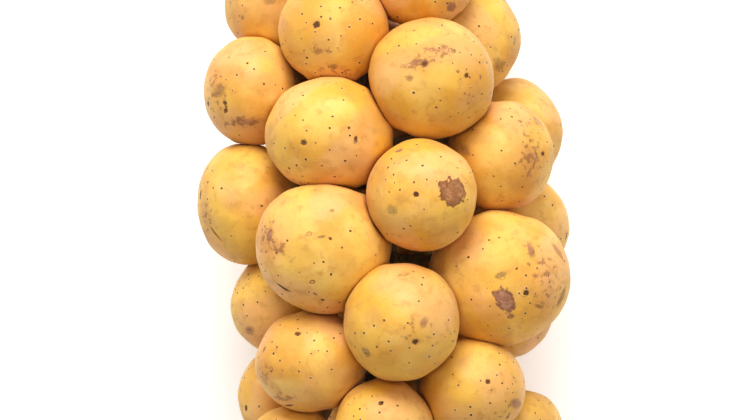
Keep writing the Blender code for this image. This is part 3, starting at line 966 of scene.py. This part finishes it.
    height = t.math("MULTIPLY", t.math("SUBTRACT", rim, t.math("MULTIPLY", pit, 2.2)), 0.5)
    height = t.math("ADD", height, t.math("MULTIPLY", fine, 0.28))
    height = t.math("ADD", height, t.math("MULTIPLY", middle, 0.6))
    height = t.math("SUBTRACT", height, t.math("MULTIPLY", mask, 0.25))
    height = t.math("ADD", height, t.math("MULTIPLY", crusts, 0.35))
    inputs = {"Height": height, "Distance": 0.00012, "Strength": 1.0}
    t.put(t.shader.inputs["Normal"], t.add("ShaderNodeBump", inputs).outputs[0])
    t.shader.inputs["Specular IOR Level"].default_value = 0.34
    t.shader.inputs["Sheen Weight"].default_value = 0.05
    t.shader.inputs["Sheen Roughness"].default_value = 0.45
    return t.material


def bark_material():
    """Greenish-brown bark with pale flecks along the grain, and pale ringed wood at the cut."""
    t = Tree("bark_look")
    where = t.add("ShaderNodeTexCoord").outputs["Object"]
    grain = t.add("ShaderNodeMapping", {"Vector": where, "Scale": ALONG_GRAIN}).outputs[0]
    fibres = t.noise(grain, 1400.0, 4.0, 0.6)
    blotch = t.noise(where, 260.0, 3.0, 0.6)
    colour = t.mix(t.smooth(fibres, 0.3, 0.7), BARK_DARK, BARK_PALE)
    colour = t.mix(t.smooth(blotch, 0.45, 0.7, 0, 0.6), colour, BARK_GREEN)
    flecks = t.add("ShaderNodeTexVoronoi", {"Vector": grain, "Scale": 700.0})
    fleck = t.smooth(flecks.outputs["Distance"], 0.22, 0.10)
    colour = t.mix(t.math("MULTIPLY", fleck, 0.5), colour, BARK_FLECK)
    away, cut, _ = t.split(t.attribute("wood"))
    rings = t.math("SINE", t.math("MULTIPLY", away, 9.0))
    wood = t.mix(t.smooth(rings, -1, 1), WOOD_DARK, WOOD_PALE)
    wood = t.mix(t.smooth(away, 1.0, 0.5, 0, 0.8), wood, PITH)
    wood = t.mix(t.smooth(t.noise(where, 2400.0), 0.45, 0.8, 0, 0.6), wood, WOOD_GRAIN)
    colour = t.mix(cut, colour, wood)
    t.put(t.shader.inputs["Base Color"], colour)
    t.put(t.shader.inputs["Roughness"], t.math("MULTIPLY_ADD", fibres, 0.2, 0.66))
    height = t.math("ADD", fibres, t.math("MULTIPLY", fleck, 0.4))
    inputs = {"Height": height, "Distance": 0.0003, "Strength": 0.8}
    t.put(t.shader.inputs["Normal"], t.add("ShaderNodeBump", inputs).outputs[0])
    return t.material


def floor_material():
    """A matt, faintly glowing white, so that the floor stays plain and pale."""
    t = Tree("pale_floor")
    where = t.add("ShaderNodeTexCoord").outputs["Object"]
    tone = t.smooth(t.noise(where, 6.0, 3.0), 0.3, 0.7)
    t.put(t.shader.inputs["Base Color"], t.mix(tone, *FLOOR_TONES))
    t.shader.inputs["Roughness"].default_value = 0.85
    t.shader.inputs["Emission Color"].default_value = (1, 1, 1, 1)
    t.shader.inputs["Emission Strength"].default_value = FLOOR_GLOW
    return t.material


# ---- stage, lights and camera ---------------------------------------------------------------


def build_floor():
    """A wide round floor under the bunch."""
    bm = bmesh.new()
    bmesh.ops.create_circle(bm, cap_ends=True, segments=128, radius=FLOOR_RADIUS)
    mesh = bpy.data.meshes.new("floor")
    bm.to_mesh(mesh)
    bm.free()
    mesh.materials.append(floor_material())
    floor = bpy.data.objects.new("floor", mesh)
    bpy.context.scene.collection.objects.link(floor)


def add_lamp(name, place, size, power, colour):
    lamp = bpy.data.lights.new(name, "AREA")
    lamp.shape = "DISK"
    lamp.size = size
    lamp.energy = power
    lamp.color = colour
    made = bpy.data.objects.new(name, lamp)
    made.location = place
    made.rotation_mode = "QUATERNION"
    made.rotation_quaternion = (Vector(LAMP_TARGET) - Vector(place)).to_track_quat("-Z", "Y")
    bpy.context.scene.collection.objects.link(made)


def light_scene():
    """Two large soft lamps and a white world that is brighter at the horizon than overhead."""
    for lamp in LAMPS:
        add_lamp(*lamp)
    world = bpy.data.worlds.new("studio")
    world.use_nodes = True
    nodes, links = world.node_tree.nodes, world.node_tree.links
    height = nodes.new("ShaderNodeSeparateXYZ")
    links.new(nodes.new("ShaderNodeTexCoord").outputs["Generated"], height.inputs[0])
    fade = nodes.new("ShaderNodeMapRange")
    fade.interpolation_type = "SMOOTHSTEP"
    for index, value in enumerate((*WORLD_FADE, WORLD_LOW, WORLD_HIGH), start=1):
        fade.inputs[index].default_value = value
    links.new(height.outputs["Z"], fade.inputs[0])
    links.new(fade.outputs[0], nodes["Background"].inputs["Strength"])
    nodes["Background"].inputs["Color"].default_value = (1.0, 1.0, 1.0, 1)
    bpy.context.scene.world = world
    view = bpy.context.scene.view_settings
    view.view_transform = "Standard"
    view.look = "Medium High Contrast"
    view.exposure = EXPOSURE


def add_camera():
    """A long lens looking straight down, a little to the side of fruit_10."""
    low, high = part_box("fruit_10")
    middle = (low + high) / 2
    data = bpy.data.cameras.new("camera")
    data.lens = CAMERA_LENS
    data.clip_start, data.clip_end = CAMERA_CLIP
    camera = bpy.data.objects.new("camera", data)
    camera.location = (middle.x + AIM_FROM_TEN[0], middle.y + AIM_FROM_TEN[1], CAMERA_HEIGHT)
    camera.rotation_mode = "QUATERNION"
    camera.rotation_quaternion = Quaternion()
    bpy.context.scene.collection.objects.link(camera)
    bpy.context.scene.camera = camera


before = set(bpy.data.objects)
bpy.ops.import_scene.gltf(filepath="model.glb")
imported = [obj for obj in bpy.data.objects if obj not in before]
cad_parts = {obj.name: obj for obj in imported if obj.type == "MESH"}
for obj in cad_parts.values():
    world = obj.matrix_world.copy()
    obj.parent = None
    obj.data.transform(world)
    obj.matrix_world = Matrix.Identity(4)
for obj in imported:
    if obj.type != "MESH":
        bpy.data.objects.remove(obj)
cad_low, cad_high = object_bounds()
cad_box = np.array([cad_low, cad_high]) / MM
STALK_LINE, STALK_CUT = stalk_line()
CENTRES, HALVES = fruit_boxes()

add_camera()
light_scene()
build_floor()

skins = [
    skin_material(f"duku_skin_look_{number}", lift)
    for number, lift in enumerate(SKIN_LIFTS, start=1)
]
ball, ball_faces = ball_mesh()
for number in range(1, FRUITS + 1):
    kind = (number - 1) % len(skins)
    build_fruit(number, ball, ball_faces, skins[kind], cad_box)

bark = bark_material()
seats = cup_seats()
build_stalk("stalk_upper", STALK_SPLIT, STALK_CUT, seats, bark, cad_box)
build_stalk("stalk_tip", STALK_TIP, STALK_SPLIT, seats, bark, cad_box)
